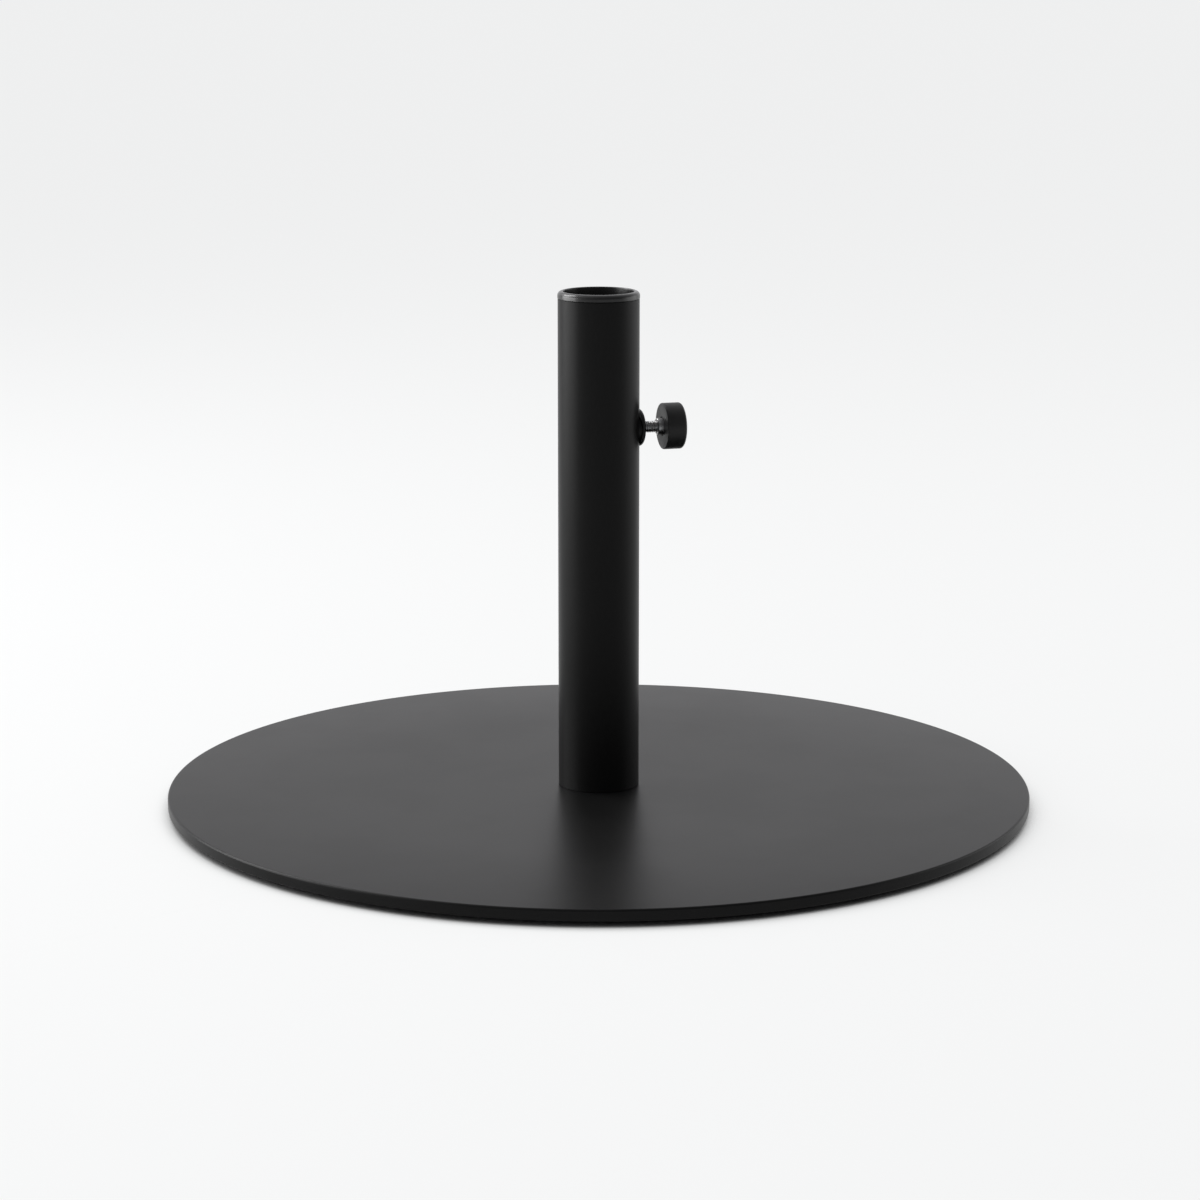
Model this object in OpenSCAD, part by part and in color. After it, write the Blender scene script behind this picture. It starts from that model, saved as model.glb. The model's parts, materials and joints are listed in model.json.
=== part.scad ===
// Base for a patio parasol: a round steel plate on rubber pads, an upright tube screwed to it
// from below, a moulded collar in the tube's mouth and a thumbscrew that clamps the pole.
// Units are millimetres. The floor is z = 0 and the tube stands on the z axis.

/* [Base plate] */
// Diameter of the plate
plate_d = 600; // [420:10:800]
// Thickness of the plate
plate_t = 8; // [6.5:0.5:14]
// Radius of the plate's rim, top and bottom
plate_edge_r = 1.5; // [0.5:0.1:3]

/* [Foot pads] */
// Height of a foot pad, which is the gap under the plate
foot_h = 4; // [2:0.5:10]
// Diameter of a foot pad
foot_d = 25; // [15:1:40]
// Number of foot pads
foot_count = 6; // [3:1:8]
// Distance from the plate's rim in to a foot pad's middle
foot_inset = 30; // [25:1:80]
// Radius of a foot pad's lower edge
foot_edge_r = 1; // [0.3:0.1:1.8]

/* [Pole socket] */
// Diameter of the parasol's pole
pole_d = 48; // [38:1:60]
// Gap all round the pole in the collar
pole_gap = 0.25; // [0.1:0.05:0.5]
// Wall thickness of the collar's sleeve
collar_wall = 1.6; // [1.3:0.1:4]
// Length of the collar's sleeve in the tube
collar_sleeve_h = 28; // [15:1:50]
// Height of the collar's head on top of the tube
collar_head_h = 5; // [4:0.5:12]
// How far the collar's head stands out past the tube
collar_lip = 0.2; // [0:0.1:2]
// Radius of the collar's outer top edge
collar_edge_r = 3; // [1:0.1:3.5]
// Radius of the collar's inner top edge
collar_mouth_r = 0.7; // [0.3:0.1:1]

/* [Upright tube] */
// Wall thickness of the tube
tube_wall = 2; // [1.5:0.1:4]
// Height of the tube above the plate
tube_h = 341; // [220:1:450]

/* [Tube foot] */
// Thickness of the disc in the tube's lower end
end_disc_t = 10; // [8:0.5:20]
// Number of stem screws
stem_screw_count = 4; // [3:1:6]
// Thread diameter of a stem screw
stem_screw_d = 8; // [5:1:8]
// Distance from the tube's axis to a stem screw's axis
stem_screw_r = 15; // [12:0.5:16]
// Width across flats of a stem screw's hexagon socket
stem_screw_hex = 5; // [3:0.5:5]
// Depth of a stem screw's hexagon socket
stem_screw_hex_h = 3; // [2:0.5:4]

/* [Clamp screw] */
// Direction of the clamp screw about the tube, in degrees
screw_angle = 15.7; // [-180:0.1:180]
// Distance from the tube's top edge down to the clamp screw
screw_drop = 90; // [60:1:160]
// Thread diameter of the clamp screw
screw_d = 8; // [7:0.5:10]
// Length of bare thread between the boss and the knob's insert
bare_thread = 10.6; // [8:0.1:25]
// Diameter of the swivel tip
tip_d = 4.4; // [3:0.1:4.8]
// Length of the swivel tip
tip_l = 6; // [4:0.5:8]
// How far the swivel tip stands out of the screw
tip_rise = 1; // [0.5:0.1:1.4]

/* [Screw boss] */
// Diameter of the boss
boss_d = 26; // [20:1:32]
// How far the boss stands out past the tube
boss_rise = 2.8; // [1:0.1:5]
// Radius of the boss's outer edge
boss_edge_r = 3; // [0.5:0.1:4]
// Wall thickness of the boss's spigot, around the thread
boss_spigot_wall = 3; // [2:0.1:4]
// How far the boss's spigot reaches in past the tube's inner face
boss_reach = 0.8; // [0:0.1:0.9]

/* [Knob] */
// Diameter of the knob
knob_d = 32; // [22:1:50]
// Thickness of the knob
knob_t = 14; // [10:0.5:25]
// Radius of the knob's outer edge
knob_edge_r = 2; // [0.5:0.1:4]
// Radius of the knob's inner edge, on the side of the tube
knob_inner_edge_r = 0.8; // [0.3:0.1:2]
// Thickness of the knob's wall behind the insert
knob_back_wall = 3; // [2:0.5:5]
// Diameter of the knob's insert
insert_d = 11.5; // [11:0.5:16]
// How far the insert stands out of the knob
insert_out = 4; // [1:0.5:8]
// How far the insert's grip ring stands out all round
grip_rise = 1.3; // [0.5:0.1:2]
// Width of the insert's grip ring
grip_w = 2.5; // [1:0.5:4]
// Width of the shallow ring sunk into the knob around the insert
knob_dish_w = 0.9; // [0.5:0.1:2]
// Depth of that ring
knob_dish_h = 0.8; // [0.3:0.1:1.5]

/* [Fits] */
// Gap all round the collar's sleeve in the tube
collar_gap = 0.15; // [0.05:0.05:0.3]
// Gap all round the end disc in the tube, which its weld fills
weld_gap = 0.1; // [0.05:0.05:0.3]
// Gap under the boss and around its spigot, which its weld fills
boss_gap = 0.05; // [0.02:0.01:0.1]
// Gap all round a screw in its thread
thread_gap = 0.05; // [0.02:0.01:0.1]
// Gap all round a stem screw in the plate
stem_screw_gap = 0.1; // [0.05:0.05:0.3]
// How far a stem screw's head is sunk into the plate
stem_screw_sink = 0.3; // [0.1:0.1:0.8]
// Distance that a stem screw stops short of the end disc's top
stem_screw_short = 1.7; // [0.5:0.1:3]
// Gap all round the insert in the knob
mould_gap = 0.02; // [0.01:0.01:0.1]
// Gap all round the swivel tip in the screw
swivel_gap = 0.05; // [0.02:0.01:0.1]
// Gap behind the swivel tip
swivel_end_gap = 0.3; // [0.2:0.1:1]
// Distance from the pole's way in the collar to the swivel tip
tip_clear = 0.15; // [0.1:0.05:0.5]

/* [Hidden] */
$fn = 96;
over = 1;                 // how far a cut runs past the face that it opens
min_land = 0.2;           // flat that is always left between two rounded edges
broken_edge_r = 0.2;      // radius of an edge that is only broken
screw_chamfer = 0.6;      // chamfer on the end of the clamp screw

// Heights
plate_top = foot_h + plate_t;
tube_top = plate_top + tube_h;
screw_z = tube_top - screw_drop;

// Pole socket and tube, from the pole outwards
pole_bore_r = pole_d / 2 + pole_gap;
collar_sleeve_r = pole_bore_r + collar_wall;
tube_ir = collar_sleeve_r + collar_gap;
tube_or = tube_ir + tube_wall;
collar_head_r = tube_or + collar_lip;
collar_head_w = collar_head_r - pole_bore_r;
collar_round_r = min(collar_edge_r, collar_head_w - collar_mouth_r - min_land);

// Stem screws: 90 degree countersunk heads
stem_head_rim = 0.4;
stem_head_d = 2 * stem_screw_d;
stem_cone_h = (stem_head_d - stem_screw_d) / 2;
stem_head_z = foot_h + stem_screw_sink;
stem_end_z = plate_top + end_disc_t - stem_screw_short;
stem_angle = 360 / stem_screw_count;

// Distances along the clamp screw, out from the tube's axis
boss_face = tube_or + boss_rise;
boss_root = tube_ir - boss_reach;
tip_face = pole_bore_r + tip_clear;
screw_end = tip_face + tip_rise;
insert_face = boss_face + bare_thread;
knob_face = insert_face + insert_out;
knob_back = knob_face + knob_t;
insert_back = knob_back - knob_back_wall;
grip_start = (knob_face + knob_dish_h + insert_back - grip_w) / 2;

// Radii about the clamp screw
screw_r = screw_d / 2;
spigot_r = screw_r + thread_gap + boss_spigot_wall;
insert_r = insert_d / 2;

foot_angle = 360 / foot_count;

// ---- shared shapes ----

// Outline to cut from a square corner at (x, y), so that it turns with radius r.
// out_x and out_y are 1 or -1 and point out of the material.
module corner_cut(x, y, r, out_x, out_y) {
    difference() {
        translate([x - (out_x > 0 ? r : over), y - (out_y > 0 ? r : over)])
            square(r + over);
        translate([x - out_x * r, y - out_y * r])
            circle(r);
    }
}

// Disc of radius r and height h, standing on z = 0, with rounded lower and upper rims
module rounded_disc(r, h, low_r, high_r) {
    rotate_extrude()
        difference() {
            square([r, h]);
            corner_cut(r, 0, low_r, 1, -1);
            corner_cut(r, h, high_r, 1, 1);
        }
}

// Moves a shape from the z axis onto the clamp screw's axis, with z = 0 on the tube's axis
module along_screw() {
    translate([0, 0, screw_z])
        rotate([0, 0, screw_angle])
            rotate([0, 90, 0])
                children();
}

// Straight round bar from a to b on the z axis
module bar(r, a, b) {
    translate([0, 0, a])
        cylinder(r = r, h = b - a);
}

// Room for a countersunk screw, or the screw's own body where gap is 0
module countersunk(gap, from_z, to_z) {
    head_r = stem_head_d / 2 + gap;
    cone_z = stem_head_z + stem_head_rim;
    bar(head_r, from_z, cone_z);
    translate([0, 0, cone_z])
        cylinder(r1 = head_r, r2 = stem_screw_d / 2 + gap, h = stem_cone_h);
    bar(stem_screw_d / 2 + gap, cone_z, to_z);
}

module at_stem_screw(i) {
    rotate([0, 0, (i - 0.5) * stem_angle])
        translate([stem_screw_r, 0, 0])
            children();
}

// ---- the sub-parts ----

module base_plate() {
    color("#2b2c2d")
        difference() {
            translate([0, 0, foot_h])
                rounded_disc(plate_d / 2, plate_t, plate_edge_r, plate_edge_r);
            for (i = [1 : stem_screw_count])
                at_stem_screw(i)
                    countersunk(stem_screw_gap, foot_h - over, plate_top + over);
        }
}

module foot_pad(i) {
    color("#171717")
        rotate([0, 0, (i - 1) * foot_angle])
            translate([plate_d / 2 - foot_inset, 0, 0])
                rounded_disc(foot_d / 2, foot_h, foot_edge_r, broken_edge_r);
}

module upright_tube() {
    color("#232425")
        difference() {
            bar(tube_or, plate_top, tube_top);
            bar(tube_ir, plate_top - over, tube_top + over);
            along_screw()
                bar(spigot_r + boss_gap, tube_ir / 2, tube_or + over);
        }
}

module tube_end_disc() {
    color("#232425")
        difference() {
            bar(tube_ir - weld_gap, plate_top, plate_top + end_disc_t);
            for (i = [1 : stem_screw_count])
                at_stem_screw(i)
                    bar(stem_screw_d / 2 + thread_gap, plate_top - over, plate_top + end_disc_t + over);
        }
}

module stem_screw(i) {
    color("#8d9093")
        at_stem_screw(i)
            difference() {
                countersunk(0, stem_head_z, stem_end_z);
                translate([0, 0, stem_head_z - over])
                    cylinder(d = stem_screw_hex / cos(30), h = stem_screw_hex_h + over, $fn = 6);
            }
}

module collar() {
    color("#1b1b1c")
        rotate_extrude()
            difference() {
                union() {
                    translate([pole_bore_r, tube_top])
                        square([collar_head_w, collar_head_h]);
                    translate([pole_bore_r, tube_top - collar_sleeve_h])
                        square([collar_wall, collar_sleeve_h]);
                }
                corner_cut(collar_head_r, tube_top + collar_head_h, collar_round_r, 1, 1);
                corner_cut(pole_bore_r, tube_top + collar_head_h, collar_mouth_r, -1, 1);
            }
}

module screw_boss() {
    color("#232425")
        difference() {
            union() {
                difference() {
                    along_screw()
                        translate([0, 0, tube_ir / 2])
                            rounded_disc(boss_d / 2, boss_face - tube_ir / 2, broken_edge_r, boss_edge_r);
                    bar(tube_or + boss_gap, screw_z - boss_d, screw_z + boss_d);
                }
                along_screw()
                    bar(spigot_r, boss_root, boss_face - boss_rise / 2);
            }
            along_screw()
                bar(screw_r + thread_gap, boss_root - over, boss_face + over);
        }
}

module clamp_screw() {
    color("#a9adb0")
        along_screw()
            difference() {
                union() {
                    translate([0, 0, screw_end])
                        cylinder(r1 = screw_r - screw_chamfer, r2 = screw_r, h = screw_chamfer);
                    bar(screw_r, screw_end + screw_chamfer, insert_back);
                }
                bar(tip_d / 2 + swivel_gap, screw_end - over, tip_face + tip_l + swivel_end_gap);
            }
}

module screw_tip() {
    color("#e8e4d8")
        along_screw()
            translate([0, 0, tip_face])
                rounded_disc(tip_d / 2, tip_l, tip_rise / 2, broken_edge_r);
}

module knob_insert() {
    color("#9a9da0")
        along_screw()
            difference() {
                union() {
                    bar(insert_r, insert_face, insert_back);
                    bar(insert_r + grip_rise, grip_start, grip_start + grip_w);
                }
                bar(screw_r + thread_gap, insert_face - over, insert_back + over);
            }
}

module knob() {
    color("#242425")
        along_screw()
            difference() {
                translate([0, 0, knob_face])
                    rounded_disc(knob_d / 2, knob_t, knob_inner_edge_r, knob_edge_r);
                bar(insert_r + knob_dish_w, knob_face - over, knob_face + knob_dish_h);
                bar(insert_r + mould_gap, knob_face - over, insert_back + mould_gap);
                bar(insert_r + grip_rise + mould_gap, grip_start - mould_gap, grip_start + grip_w + mould_gap);
            }
}

// ---- assembly ----

base_plate();
upright_tube();
tube_end_disc();
collar();
screw_boss();
clamp_screw();
screw_tip();
knob_insert();
knob();
for (i = [1 : foot_count])
    foot_pad(i);
for (i = [1 : stem_screw_count])
    stem_screw(i);
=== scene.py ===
"""Patio parasol base: a black powder-coated steel plate and tube with a moulded collar and a clamp screw.

Everything is in metres, in the CAD frame: z up, the tube on the z axis, the floor at z = 0.
"""

import json
import math

import bmesh
import bpy
from mathutils import Matrix, Vector


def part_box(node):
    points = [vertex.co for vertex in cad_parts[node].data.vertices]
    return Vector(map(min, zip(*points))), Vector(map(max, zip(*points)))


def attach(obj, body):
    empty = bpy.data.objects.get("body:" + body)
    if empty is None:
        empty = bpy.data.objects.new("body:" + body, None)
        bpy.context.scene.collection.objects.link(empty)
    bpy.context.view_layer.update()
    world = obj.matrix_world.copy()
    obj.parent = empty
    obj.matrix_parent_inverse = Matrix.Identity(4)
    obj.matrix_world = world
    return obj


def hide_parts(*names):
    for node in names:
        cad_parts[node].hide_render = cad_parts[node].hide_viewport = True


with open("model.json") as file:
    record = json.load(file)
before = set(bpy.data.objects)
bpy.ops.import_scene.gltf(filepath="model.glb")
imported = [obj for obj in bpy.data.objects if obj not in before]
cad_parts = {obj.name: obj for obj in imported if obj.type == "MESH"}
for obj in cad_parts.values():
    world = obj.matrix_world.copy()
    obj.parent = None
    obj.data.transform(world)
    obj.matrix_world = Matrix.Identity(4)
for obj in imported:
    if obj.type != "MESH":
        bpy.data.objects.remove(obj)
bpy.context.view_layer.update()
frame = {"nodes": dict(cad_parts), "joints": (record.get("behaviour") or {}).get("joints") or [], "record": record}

MM = 0.001


# ---------------------------------------------------------------- sizes read from the frame


def mount(name):
    """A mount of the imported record, by name."""
    return next(m for m in frame["record"]["mounts"] if m["name"] == name)


def joint(name):
    """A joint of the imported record, by name."""
    return next(j for j in frame["joints"] if j["name"] == name)


PLATE_LOW, PLATE_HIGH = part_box("base_plate")
TUBE_LOW, TUBE_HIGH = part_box("upright_tube")
COLLAR_LOW, COLLAR_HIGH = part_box("collar")
DISC_LOW, DISC_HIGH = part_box("tube_end_disc")

PLATE_R = PLATE_HIGH.x
TUBE_R = TUBE_HIGH.x
POLE_BORE_R = mount("pole_bore")["dims"]["r_mm"] * MM

SCREW_AXIS = Vector(joint("clamp_turn")["axis"]).normalized()
SCREW_Z = joint("clamp_turn")["pos_m"][2]
SCREW_FRAME = Matrix.Translation((0, 0, SCREW_Z)) @ SCREW_AXIS.to_track_quat("Z", "Y").to_matrix().to_4x4()
THREAD_PITCH = 1.25 * MM


def along_screw(node, beyond=0.0):
    """(start, end, radius) of a CAD node about the clamp screw's axis; start and end are from the tube's axis.

    Only the node's points beyond a radius are read.
    """
    back = SCREW_FRAME.inverted()
    points = [back @ v.co for v in frame["nodes"][node].data.vertices]
    points = [p for p in points if math.hypot(p.x, p.y) >= beyond]
    heights = [p.z for p in points]
    return min(heights), max(heights), max(math.hypot(p.x, p.y) for p in points)


# ---------------------------------------------------------------- meshes


def arc(centre, radius, start, end, steps=8):
    """Points (r, h) of an arc about centre, with angles in degrees from +r towards +h."""
    points = []
    for i in range(steps + 1):
        a = math.radians(start + (end - start) * i / steps)
        points.append((centre[0] + radius * math.cos(a), centre[1] + radius * math.sin(a)))
    return points


def new_piece(name, bm, crease=35):
    """A smooth-shaded object of a bmesh, with edges sharper than the crease angle kept sharp."""
    bmesh.ops.remove_doubles(bm, verts=bm.verts, dist=1e-7)
    bmesh.ops.recalc_face_normals(bm, faces=bm.faces)
    mesh = bpy.data.meshes.new(name)
    bm.to_mesh(mesh)
    bm.free()
    for face in mesh.polygons:
        face.use_smooth = True
    mesh.set_sharp_from_angle(angle=math.radians(crease))
    piece = bpy.data.objects.new(name, mesh)
    bpy.context.scene.collection.objects.link(piece)
    return piece


def lathe(name, outline, place=Matrix.Identity(4), segments=128):
    """Turns a closed outline of (r, h) points about the z axis, then puts it in place."""
    bm = bmesh.new()
    rings = []
    for r, h in outline:
        if r < 1e-7:
            rings.append([bm.verts.new(place @ Vector((0, 0, h)))])
            continue
        ring = []
        for i in range(segments):
            a = 2 * math.pi * i / segments
            ring.append(bm.verts.new(place @ Vector((r * math.cos(a), r * math.sin(a), h))))
        rings.append(ring)
    pairs = list(zip(rings, rings[1:]))
    if len(rings[0]) > 1 or len(rings[-1]) > 1:
        pairs.append((rings[-1], rings[0]))
    for low, high in pairs:
        for i in range(segments):
            k = (i + 1) % segments
            corners = [low[i % len(low)], low[k % len(low)], high[k % len(high)], high[i % len(high)]]
            corners = list(dict.fromkeys(corners))
            if len(corners) > 2:
                bm.faces.new(corners)
    return new_piece(name, bm)


def cut(piece, cutters):
    """Takes the cutters' volumes out of a piece, and removes the cutters."""
    bpy.context.view_layer.objects.active = piece
    for cutter in cutters:
        step = piece.modifiers.new("cut", "BOOLEAN")
        step.operation = "DIFFERENCE"
        step.solver = "EXACT"
        step.object = cutter
        bpy.ops.object.modifier_apply(modifier=step.name)
        bpy.data.objects.remove(cutter)
    piece.data.set_sharp_from_angle(angle=math.radians(35))
    return piece


def finish_piece(piece, body, slot, material, *nodes):
    """Gives a piece its material and body, and hides the CAD nodes that it stands for."""
    piece.data.materials.clear()
    piece.data.materials.append(material)
    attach(piece, body)
    if nodes:
        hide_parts(*nodes)
    return piece


# ---------------------------------------------------------------- shader groups


def node_group(name, inputs, outputs):
    """An empty shader node group with float inputs {name: default} and outputs {name: socket type}."""
    group = bpy.data.node_groups.new(name, "ShaderNodeTree")
    for label, value in inputs.items():
        socket = group.interface.new_socket(label, in_out="INPUT", socket_type="NodeSocketFloat")
        socket.default_value = value
    for label, kind in outputs.items():
        group.interface.new_socket(label, in_out="OUTPUT", socket_type=kind)
    return group, group.nodes.new("NodeGroupInput"), group.nodes.new("NodeGroupOutput")


def math_node(tree, operation, *values):
    """A math node whose inputs are numbers or sockets; gives its output socket."""
    node = tree.nodes.new("ShaderNodeMath")
    node.operation = operation
    for socket, value in zip(node.inputs, values):
        if isinstance(value, (int, float)):
            socket.default_value = value
        else:
            tree.links.new(value, socket)
    return node.outputs[0]


def remap(tree, value, low, high, to_low=0.0, to_high=1.0):
    """Value from the range low to high, clamped, onto to_low to to_high."""
    node = tree.nodes.new("ShaderNodeMapRange")
    node.interpolation_type = "SMOOTHSTEP"
    tree.links.new(value, node.inputs["Value"])
    for label, number in (("From Min", low), ("From Max", high), ("To Min", to_low), ("To Max", to_high)):
        node.inputs[label].default_value = number
    return node.outputs["Result"]


def noise(tree, scale, detail=2.0, roughness=0.5, vector=None, squash=(1, 1, 1)):
    """Noise over the object's own coordinates; scale is a number or a socket, in features per metre."""
    if vector is None:
        vector = tree.nodes.new("ShaderNodeTexCoord").outputs["Object"]
    stretch = tree.nodes.new("ShaderNodeMapping")
    stretch.inputs["Scale"].default_value = squash
    tree.links.new(vector, stretch.inputs["Vector"])
    node = tree.nodes.new("ShaderNodeTexNoise")
    node.inputs["Detail"].default_value = detail
    node.inputs["Roughness"].default_value = roughness
    tree.links.new(stretch.outputs["Vector"], node.inputs["Vector"])
    if isinstance(scale, (int, float)):
        node.inputs["Scale"].default_value = scale
    else:
        tree.links.new(scale, node.inputs["Scale"])
    return node.outputs["Fac"]


def make_fine_texture():
    """Orange peel of a cured powder coat or the grain of a mould: a height over the surface."""
    group, into, out = node_group(
        "fine_texture",
        {"Peel Scale": 700.0, "Grain Scale": 2600.0, "Grain Share": 0.35},
        {"Height": "NodeSocketFloat"},
    )
    peel = noise(group, into.outputs["Peel Scale"], detail=2.0, roughness=0.55)
    grain = noise(group, into.outputs["Grain Scale"], detail=1.0, roughness=0.5)
    grain_part = math_node(group, "MULTIPLY", grain, into.outputs["Grain Share"])
    group.links.new(math_node(group, "ADD", peel, grain_part), out.inputs["Height"])
    return group


def make_handling():
    """Faint cloudy patches and specks of a surface that has been handled and dusted: a mask from 0 to 1."""
    group, into, out = node_group(
        "handling",
        {"Cloud Scale": 7.0, "Speck Scale": 420.0, "Speck Share": 0.25},
        {"Mask": "NodeSocketFloat"},
    )
    cloud = remap(group, noise(group, into.outputs["Cloud Scale"], detail=4.0, roughness=0.6), 0.35, 0.7)
    speck = remap(group, noise(group, into.outputs["Speck Scale"], detail=1.0), 0.68, 0.8)
    speck_part = math_node(group, "MULTIPLY", speck, into.outputs["Speck Share"])
    both = math_node(group, "ADD", cloud, speck_part)
    group.links.new(math_node(group, "MINIMUM", both, 1.0), out.inputs["Mask"])
    return group


def make_turning_marks():
    """Fine rings that a lathe tool leaves, along the clamp screw's axis: a height over the surface."""
    group, into, out = node_group(
        "turning_marks", {"Rings Per Metre": 9000.0}, {"Height": "NodeSocketFloat"}
    )
    coordinate = group.nodes.new("ShaderNodeTexCoord").outputs["Object"]
    along = group.nodes.new("ShaderNodeVectorMath")
    along.operation = "DOT_PRODUCT"
    along.inputs[1].default_value = SCREW_AXIS
    group.links.new(coordinate, along.inputs[0])
    phase = math_node(group, "MULTIPLY", along.outputs["Value"], into.outputs["Rings Per Metre"])
    wave = math_node(group, "SINE", phase)
    uneven = noise(group, 900.0, detail=3.0)
    group.links.new(math_node(group, "MULTIPLY", wave, uneven), out.inputs["Height"])
    return group


FINE_TEXTURE = make_fine_texture()
HANDLING = make_handling()
TURNING_MARKS = make_turning_marks()


# ---------------------------------------------------------------- materials


def place_group(tree, group, **values):
    """The group in a material, with its own values."""
    node = tree.nodes.new("ShaderNodeGroup")
    node.node_tree = group
    for label, value in values.items():
        node.inputs[label.replace("_", " ")].default_value = value
    return node


def base_material(name, colour, worn_colour, roughness, worn_roughness, mask, height, depth, **constants):
    """A Principled material whose colour and roughness follow a mask and whose surface follows a height."""
    material = bpy.data.materials.new(name)
    material.use_nodes = True
    tree = material.node_tree
    shader = tree.nodes["Principled BSDF"]
    mask_node = place_group(tree, *mask[:1], **mask[1])
    height_node = place_group(tree, *height[:1], **height[1])
    mix = tree.nodes.new("ShaderNodeMix")
    mix.data_type = "RGBA"
    mix.inputs["A"].default_value = (*colour, 1)
    mix.inputs["B"].default_value = (*worn_colour, 1)
    tree.links.new(mask_node.outputs["Mask"], mix.inputs["Factor"])
    tree.links.new(mix.outputs["Result"], shader.inputs["Base Color"])
    rough = remap(tree, mask_node.outputs["Mask"], 0.0, 1.0, roughness, worn_roughness)
    tree.links.new(rough, shader.inputs["Roughness"])
    bump = tree.nodes.new("ShaderNodeBump")
    bump.inputs["Strength"].default_value = 1.0
    bump.inputs["Distance"].default_value = depth
    tree.links.new(height_node.outputs["Height"], bump.inputs["Height"])
    tree.links.new(bump.outputs["Normal"], shader.inputs["Normal"])
    for label, value in constants.items():
        shader.inputs[label.replace("_", " ")].default_value = value
    return material


def grey(value, warm=0.0):
    """A near-neutral colour, a little warm or cool."""
    return (value * (1 + warm), value, value * (1 - warm))


COAT = base_material(
    "black_powder_coat", grey(0.0038), grey(0.0046), 0.352, 0.364,
    (HANDLING, {"Cloud_Scale": 16.0, "Speck_Share": 0.3}),
    (FINE_TEXTURE, {"Peel_Scale": 650.0, "Grain_Scale": 2400.0}),
    0.000022, Specular_IOR_Level=0.10,
)
COLLAR_PLASTIC = base_material(
    "collar_plastic", grey(0.0030), grey(0.004), 0.27, 0.31,
    (HANDLING, {"Cloud_Scale": 40.0, "Speck_Scale": 900.0}),
    (FINE_TEXTURE, {"Peel_Scale": 1500.0, "Grain_Scale": 5000.0}),
    0.000006, Specular_IOR_Level=0.42,
)
KNOB_PLASTIC = base_material(
    "knob_plastic", grey(0.006), grey(0.009), 0.42, 0.52,
    (HANDLING, {"Cloud_Scale": 60.0, "Speck_Scale": 1200.0}),
    (FINE_TEXTURE, {"Peel_Scale": 2200.0, "Grain_Scale": 7000.0, "Grain_Share": 0.6}),
    0.000012, Specular_IOR_Level=0.25,
)
ZINC = base_material(
    "zinc_plate", grey(0.40, -0.02), grey(0.30, 0.02), 0.34, 0.44,
    (HANDLING, {"Cloud_Scale": 120.0, "Speck_Scale": 2500.0, "Speck_Share": 0.4}),
    (TURNING_MARKS, {}),
    0.000006, Metallic=1.0,
)
BLACK_OXIDE = base_material(
    "black_oxide_steel", grey(0.05), grey(0.09), 0.38, 0.5,
    (HANDLING, {"Cloud_Scale": 90.0, "Speck_Scale": 1500.0}),
    (FINE_TEXTURE, {"Peel_Scale": 2500.0, "Grain_Scale": 8000.0}),
    0.000006, Metallic=1.0,
)
NYLON = base_material(
    "natural_nylon", grey(0.72, 0.03), grey(0.62, 0.05), 0.42, 0.5,
    (HANDLING, {"Cloud_Scale": 200.0, "Speck_Scale": 3000.0}),
    (FINE_TEXTURE, {"Peel_Scale": 4000.0, "Grain_Scale": 9000.0}),
    0.000005, Subsurface_Weight=0.15,
)
PAD_RUBBER = base_material(
    "pad_rubber", grey(0.012), grey(0.03, 0.05), 0.72, 0.85,
    (HANDLING, {"Cloud_Scale": 60.0, "Speck_Scale": 800.0, "Speck_Share": 0.5}),
    (FINE_TEXTURE, {"Peel_Scale": 1800.0, "Grain_Scale": 5000.0, "Grain_Share": 0.8}),
    0.00004, Specular_IOR_Level=0.3,
)


# ---------------------------------------------------------------- the plate and what is under it

RIM_ROUND = 1.5 * MM      # radius of the plate's rim edges, under the coat


def stem_screw_cutter(node):
    """The countersunk hole of one stem screw, a little wider than the screw."""
    low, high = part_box(node)
    centre = (low + high) / 2
    head_r = (high.x - low.x) / 2 + 0.1 * MM
    shank_r = head_r / 2
    rim = low.z + 0.4 * MM
    outline = [
        (0, PLATE_LOW.z - MM), (head_r, PLATE_LOW.z - MM), (head_r, rim),
        (shank_r, rim + head_r - shank_r), (shank_r, PLATE_HIGH.z + MM), (0, PLATE_HIGH.z + MM),
    ]
    return lathe("cutter", outline, Matrix.Translation((centre.x, centre.y, 0)), 64)


def make_plate():
    """The round plate, with a softly rounded rim and countersunk holes from below."""
    low, high, r = PLATE_LOW.z, PLATE_HIGH.z, RIM_ROUND
    outline = [(0, low), (0.035, low), (PLATE_R * 0.6, low)]
    outline += arc((PLATE_R - r, low + r), r, -90, 0, 10)
    outline += arc((PLATE_R - r, high - r), r, 0, 90, 10)
    outline += [(PLATE_R * 0.6, high), (0.035, high), (0, high)]
    plate = lathe("steel_plate", outline, segments=512)
    cut(plate, [stem_screw_cutter(f"stem_screw_{i}") for i in range(1, 5)])
    return finish_piece(plate, "base", "powder_coated_steel", COAT, "base_plate")


def make_pad(node, name):
    """A rubber pad with a bulging side and a ring moulded into its lower face."""
    low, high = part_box(node)
    centre, r, h = (low + high) / 2, (high.x - low.x) / 2, high.z
    bulge, groove_r, groove_d = 0.25 * MM, r * 0.62, 0.6 * MM
    outline = [(0, 0.3 * MM), (groove_r * 0.55, 0.3 * MM), (groove_r * 0.62, 0), (groove_r - MM, 0)]
    outline += [(groove_r - 0.6 * MM, groove_d), (groove_r + 0.6 * MM, groove_d), (groove_r + MM, 0)]
    outline += arc((r - 1.2 * MM, 1.2 * MM), 1.2 * MM, -90, 0, 6)
    outline += [(r - bulge / 2, h * 0.6), (r - bulge, h - 0.25 * MM), (r - bulge - 0.25 * MM, h), (0, h)]
    pad = lathe(name, outline, Matrix.Translation((centre.x, centre.y, 0)), 72)
    return finish_piece(pad, "base", "pad_rubber", PAD_RUBBER, node)


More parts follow.
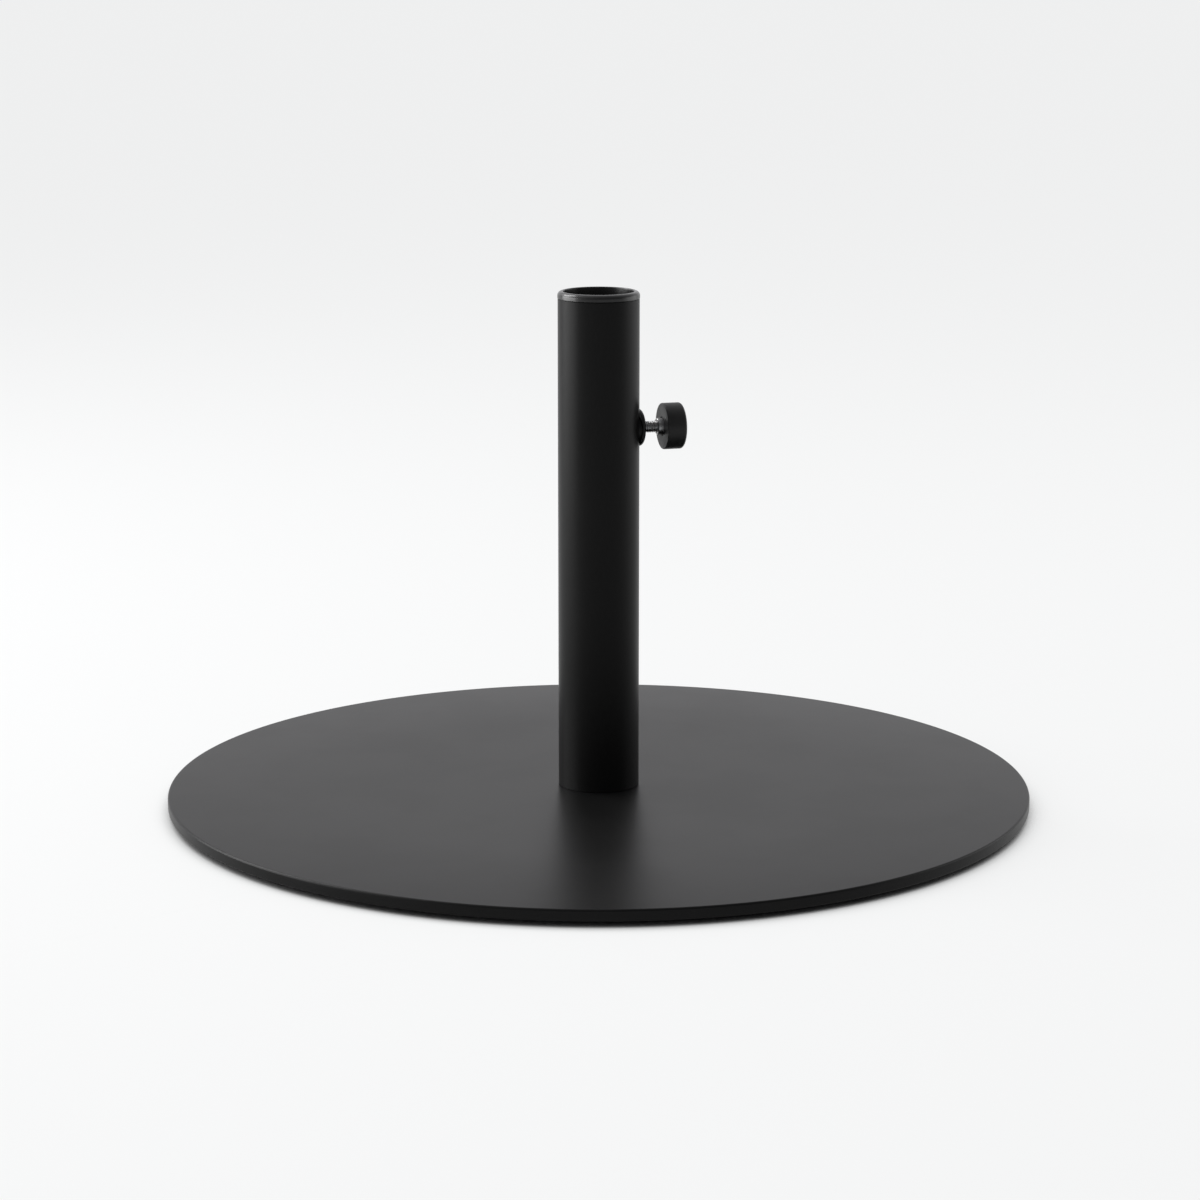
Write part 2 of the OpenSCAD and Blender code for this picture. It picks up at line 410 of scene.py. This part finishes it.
# ---------------------------------------------------------------- the tube, its collar and its foot


def make_tube():
    """The tube, with its hole for the screw boss."""
    inner = TUBE_R - 2 * MM
    break_r = 0.25 * MM
    low, high = TUBE_LOW.z, TUBE_HIGH.z
    outline = [(inner, low), (TUBE_R - break_r, low), (TUBE_R, low + break_r)]
    outline += [(TUBE_R, low + (high - low) * k / 8) for k in range(1, 8)]
    outline += [(TUBE_R, high - break_r), (TUBE_R - break_r, high), (inner, high)]
    tube = lathe("tube_steel", outline, segments=256)
    hole_r = 7.1 * MM
    cutter = lathe(
        "cutter", [(0, inner / 2), (hole_r, inner / 2), (hole_r, TUBE_R * 1.2), (0, TUBE_R * 1.2)],
        SCREW_FRAME, 64,
    )
    cut(tube, [cutter])
    return finish_piece(tube, "base", "powder_coated_steel", COAT, "upright_tube")


def make_collar():
    """The moulded collar: a head with a rounded lip and a sleeve that fits in the tube."""
    top, seat, low = COLLAR_HIGH.z, TUBE_HIGH.z, COLLAR_LOW.z
    head_r, sleeve_r, bore_r = COLLAR_HIGH.x, TUBE_R - 2.15 * MM, POLE_BORE_R
    lip, mouth, foot = 3.0 * MM, 0.7 * MM, 0.4 * MM
    outline = [(bore_r, low + foot), (bore_r + foot, low), (sleeve_r - foot, low), (sleeve_r, low + foot)]
    outline += [(sleeve_r, seat), (head_r - foot, seat), (head_r, seat + foot)]
    outline += arc((head_r - lip, top - lip), lip, 0, 90, 14)
    outline += arc((bore_r + mouth, top - mouth), mouth, 90, 180, 6)
    collar = lathe("collar_moulding", outline, segments=192)
    return finish_piece(collar, "base", "collar_plastic", COLLAR_PLASTIC, "collar")


def make_foot_weld():
    """The fillet weld inside the tube, on top of its end disc."""
    inner, top, leg = TUBE_R - 2 * MM, DISC_HIGH.z, 2.2 * MM
    outline = [(inner + 0.1 * MM, top - 0.1 * MM), (inner - leg, top - 0.1 * MM), (inner - leg, top)]
    outline += [(inner - leg * 0.45, top + leg * 0.38), (inner, top + leg), (inner + 0.1 * MM, top + leg)]
    weld = lathe("foot_weld", outline, segments=160)
    return finish_piece(weld, "base", "powder_coated_steel", COAT)


# ---------------------------------------------------------------- the screw boss

BOSS_START, BOSS_FACE, BOSS_R = along_screw("screw_boss")
BOSS_ROUND = 3.0 * MM


def boss_radius(height):
    """The boss's outer radius at a height from the tube's axis."""
    over = height - (BOSS_FACE - BOSS_ROUND)
    if over <= 0:
        return 13.0 * MM
    return 13.0 * MM - BOSS_ROUND + math.sqrt(max(BOSS_ROUND**2 - over**2, 0))


def make_boss():
    """The boss: a turned pad with a rounded edge, cut to lie on the tube, and its threaded hole."""
    face, r, bore = BOSS_FACE, boss_radius(0), 4.05 * MM
    low = TUBE_R * 0.55
    outline = [(bore, low), (r, low)]
    outline += arc((r - BOSS_ROUND, face - BOSS_ROUND), BOSS_ROUND, 0, 90, 14)
    outline += [(bore + 0.6 * MM, face), (bore, face - 0.6 * MM)]
    boss = lathe("boss_pad", outline, SCREW_FRAME, 128)
    inside = TUBE_R - 0.6 * MM
    cutter = lathe(
        "cutter", [(0, SCREW_Z - 0.03), (inside, SCREW_Z - 0.03), (inside, SCREW_Z + 0.03), (0, SCREW_Z + 0.03)],
        segments=256,
    )
    cut(boss, [cutter])
    return finish_piece(boss, "base", "powder_coated_steel", COAT, "screw_boss")


def tube_height(across):
    """How far the tube's surface is from its axis plane, at a distance across from the boss's middle."""
    return math.sqrt(max(TUBE_R**2 - across**2, 0))


def make_boss_weld():
    """The coated fillet weld around the boss, where it meets the tube."""
    leg, around, steps, sunk = 1.1 * MM, 144, 6, 0.4 * MM
    bm = bmesh.new()
    rings = []
    for i in range(around):
        a = 2 * math.pi * i / around
        edge_r = boss_radius(0)
        for _ in range(6):
            edge_r = boss_radius(tube_height(edge_r * math.sin(a)))
        ripple = 1 + 0.06 * math.sin(24 * a)
        ring = [(edge_r - sunk, -sunk), (edge_r + leg * ripple, -sunk)]
        for k in range(steps + 1):
            t = math.radians(90 * k / steps)
            ring.append((edge_r + leg * ripple * (1 - math.sin(t)), leg * (1 - math.cos(t)) * 0.8))
        ring.append((edge_r - sunk, leg * 0.8))
        rings.append([
            bm.verts.new(SCREW_FRAME @ Vector((r * math.cos(a), r * math.sin(a), tube_height(r * math.sin(a)) + h)))
            for r, h in ring
        ])
    for i, ring in enumerate(rings):
        after = rings[(i + 1) % around]
        for k in range(len(ring)):
            n = (k + 1) % len(ring)
            bm.faces.new([ring[k], ring[n], after[n], after[k]])
    return finish_piece(new_piece("boss_weld", bm, 50), "base", "powder_coated_steel", COAT)


# ---------------------------------------------------------------- the clamp screw and its knob


def make_clamp_screw():
    """The stud, with a real helical thread, a chamfered end and the bore for the swivel tip."""
    start, end, major = along_screw("clamp_screw")
    _, tip_end, tip_r = along_screw("screw_tip")
    minor, chamfer, bore = major - 0.68 * MM, 0.7 * MM, tip_r + 0.05 * MM
    profile = [(0.00, minor), (0.14, minor), (0.20, minor + 0.06 * MM), (0.47, major - 0.05 * MM),
               (0.53, major), (0.62, major), (0.68, major - 0.05 * MM), (0.95, minor + 0.06 * MM)]
    around = 72
    turns = int((end - start) / THREAD_PITCH) + 3
    bm = bmesh.new()
    columns = []
    for i in range(around + 1):
        a = 2 * math.pi * i / around
        column = []
        for turn in range(-2, turns):
            for share, r in profile:
                h = start + THREAD_PITCH * (turn + share + i / around)
                h = min(max(h, start), end)
                r = max(min(r, major - chamfer + (h - start)), bore + 0.3 * MM)
                column.append(bm.verts.new(SCREW_FRAME @ Vector((r * math.cos(a), r * math.sin(a), h))))
        columns.append(column)
    for left, right in zip(columns, columns[1:]):
        for k in range(len(left) - 1):
            bm.faces.new([left[k], right[k], right[k + 1], left[k + 1]])
    bmesh.ops.remove_doubles(bm, verts=bm.verts, dist=1e-6)
    bmesh.ops.dissolve_degenerate(bm, edges=bm.edges, dist=1e-7)
    stud = new_piece("stud_thread", bm, 40)
    core = lathe("stud_core", [
        (bore, start), (minor - 0.3 * MM, start), (minor, start + 0.3 * MM), (minor, end), (0, end),
        (0, tip_end + 0.3 * MM), (bore, tip_end + 0.3 * MM),
    ], SCREW_FRAME, 72)
    finish_piece(core, "clamp", "zinc_plated_steel", ZINC)
    return finish_piece(stud, "clamp", "zinc_plated_steel", ZINC, "clamp_screw")


def make_insert():
    """The turned insert: chamfered end, bored for the stud, with its grip ring inside the knob."""
    start, end, _ = along_screw("knob_insert")
    r, bore, bevel = 5.75 * MM, 4.05 * MM, 0.45 * MM
    grip_start, grip_end, grip_r = along_screw("knob_insert", r + 0.5 * MM)
    outline = [(bore, start + bevel), (bore + bevel, start), (r - bevel, start), (r, start + bevel)]
    outline += [(r, grip_start), (grip_r, grip_start), (grip_r, grip_end), (r, grip_end), (r, end), (bore, end)]
    insert = lathe("insert_sleeve", outline, SCREW_FRAME, 96)
    return finish_piece(insert, "clamp", "zinc_plated_steel", ZINC, "knob_insert")


def make_knob():
    """The knob: rounded edges, a faint crown on its outer face and a shallow ring around the insert."""
    start, end, r = along_screw("knob")
    _, hole_end, _ = along_screw("knob_insert")
    hole, dish_r, dish = 5.78 * MM, 6.65 * MM, 0.8 * MM
    inner_round, outer_round, crown = 0.8 * MM, 2.0 * MM, 0.25 * MM
    outline = [(0, hole_end), (hole, hole_end), (hole, start + dish)]
    outline += [(dish_r - 0.2 * MM, start + dish), (dish_r, start + dish - 0.2 * MM)]
    outline += arc((dish_r + 0.3 * MM, start + 0.3 * MM), 0.3 * MM, 180, 270, 4)
    outline += arc((r - inner_round, start + inner_round), inner_round, -90, 0, 8)
    outline += arc((r - outer_round, end - outer_round - crown), outer_round, 0, 86, 12)
    outline += [(r * 0.6, end - crown * 0.45), (r * 0.3, end - crown * 0.12), (0, end)]
    knob = lathe("knob_moulding", outline, SCREW_FRAME, 160)
    return finish_piece(knob, "clamp", "knob_plastic", KNOB_PLASTIC, "knob")


def make_tip():
    """The swivel tip: a nylon plug with a rounded nose."""
    start, end, r = along_screw("screw_tip")
    nose = 0.5 * MM
    outline = [(0, start)] + arc((r - nose, start + nose), nose, -90, 0, 6)
    outline += [(r, end - 0.2 * MM), (r - 0.2 * MM, end), (0, end)]
    tip = lathe("nylon_tip", outline, SCREW_FRAME, 64)
    return finish_piece(tip, "tip", "nylon", NYLON, "screw_tip")


# ---------------------------------------------------------------- assembly

make_plate()
for number in range(1, 7):
    make_pad(f"foot_pad_{number}", f"rubber_pad_{number}")
make_tube()
make_collar()
make_foot_weld()
make_boss()
make_boss_weld()
make_clamp_screw()
make_insert()
make_knob()
make_tip()
for number in range(1, 5):
    screw = frame["nodes"][f"stem_screw_{number}"]
    screw.data.materials.clear()
    screw.data.materials.append(BLACK_OXIDE)
end_disc = frame["nodes"]["tube_end_disc"]
end_disc.data.materials.clear()
end_disc.data.materials.append(COAT)


# ---------------------------------------------------------------- floor, light and camera

FLOOR_HALF = 40.0
FLOOR_EVENNESS = 0.86
PALE_SIDE = (-0.6, 1.0, 0.2)
PALE_LIGHT = 1.06
DIM_LIGHT = 0.26


def seen_directly(tree):
    """1 for rays from the camera and for mirrored or refracted ones, 0 for all others."""
    path = tree.nodes.new("ShaderNodeLightPath")
    seen = math_node(tree, "MAXIMUM", path.outputs["Is Camera Ray"], path.outputs["Is Glossy Ray"])
    return math_node(tree, "MAXIMUM", seen, path.outputs["Is Transmission Ray"])


def make_floor():
    """A plain pale floor: mostly an even white where it is seen, with part of the object's shadow left and a
    painted contact shade where its glow is dimmed under and beside the object.
    """
    bm = bmesh.new()
    half = FLOOR_HALF
    bm.faces.new([bm.verts.new((x, y, 0)) for x, y in ((-half, -half), (half, -half), (half, half), (-half, half))])
    floor = new_piece("floor", bm)
    material = bpy.data.materials.new("floor_paint")
    material.use_nodes = True
    tree = material.node_tree
    paint = tree.nodes["Principled BSDF"]
    paint.inputs["Base Color"].default_value = (0.86, 0.865, 0.865, 1)
    paint.inputs["Roughness"].default_value = 0.9
    paint.inputs["Specular IOR Level"].default_value = 0.1
    even = tree.nodes.new("ShaderNodeEmission")
    even.inputs["Color"].default_value = (0.90, 0.905, 0.905, 1)
    # Painted shade: ambient occlusion dims the floor's glow under the plate and right next to the object, which
    # paints a contact shadow into the gap.
    painted_contact_shade = tree.nodes.new("ShaderNodeAmbientOcclusion")
    painted_contact_shade.samples = 8
    painted_contact_shade.inputs["Distance"].default_value = 0.05
    tree.links.new(remap(tree, painted_contact_shade.outputs["AO"], 0.1, 0.85), even.inputs["Strength"])
    mix = tree.nodes.new("ShaderNodeMixShader")
    tree.links.new(math_node(tree, "MULTIPLY", seen_directly(tree), FLOOR_EVENNESS), mix.inputs["Fac"])
    tree.links.new(paint.outputs["BSDF"], mix.inputs[1])
    tree.links.new(even.outputs["Emission"], mix.inputs[2])
    tree.links.new(mix.outputs["Shader"], tree.nodes["Material Output"].inputs["Surface"])
    floor.data.materials.append(material)


def make_world():
    """A soft studio: pale behind and to the left of the object, dim on the camera's side."""
    world = bpy.data.worlds.new("studio")
    bpy.context.scene.world = world
    world.use_nodes = True
    tree = world.node_tree
    background = tree.nodes["Background"]
    background.inputs["Color"].default_value = (0.985, 0.98, 1, 1)
    direction = tree.nodes.new("ShaderNodeTexCoord").outputs["Generated"]
    towards = tree.nodes.new("ShaderNodeVectorMath")
    towards.operation = "DOT_PRODUCT"
    towards.inputs[1].default_value = Vector(PALE_SIDE).normalized()
    tree.links.new(direction, towards.inputs[0])
    studio = remap(tree, towards.outputs["Value"], -0.75, 0.75, DIM_LIGHT, PALE_LIGHT)
    path = tree.nodes.new("ShaderNodeLightPath")
    mix = tree.nodes.new("ShaderNodeMix")
    mix.data_type = "FLOAT"
    tree.links.new(path.outputs["Is Camera Ray"], mix.inputs["Factor"])
    tree.links.new(studio, mix.inputs["A"])
    mix.inputs["B"].default_value = 0.915
    tree.links.new(mix.outputs["Result"], background.inputs["Strength"])


def make_lamp(name, place, target, size, power):
    """A rectangular soft lamp aimed at a point."""
    lamp = bpy.data.lights.new(name, "AREA")
    lamp.shape = "RECTANGLE"
    lamp.size, lamp.size_y = size
    lamp.energy = power
    holder = bpy.data.objects.new(name, lamp)
    bpy.context.scene.collection.objects.link(holder)
    holder.location = place
    holder.rotation_euler = (Vector(target) - Vector(place)).to_track_quat("-Z", "Y").to_euler()


def make_camera():
    """The camera, a little above the object and looking down on it."""
    camera = bpy.data.cameras.new("camera")
    camera.lens = 100.4
    camera.sensor_width = 36.0
    holder = bpy.data.objects.new("camera", camera)
    bpy.context.scene.collection.objects.link(holder)
    holder.location = (0, -2.2709, 0.623)
    holder.rotation_euler = (math.pi / 2 - 0.2083, 0, -0.0004)
    bpy.context.scene.camera = holder


make_floor()
make_world()
make_lamp("key_left", (-1.7, 0.9, 1.9), (0, 0, 0.1), (1.2, 1.2), 46)
make_lamp("side_left", (-1.9, 0.05, 0.55), (0, 0, 0.2), (1.8, 1.0), 36)
make_lamp("side_right", (1.9, 0.45, 0.55), (0, 0, 0.2), (1.8, 1.0), 8)
make_camera()
bpy.context.scene.view_settings.view_transform = "Standard"
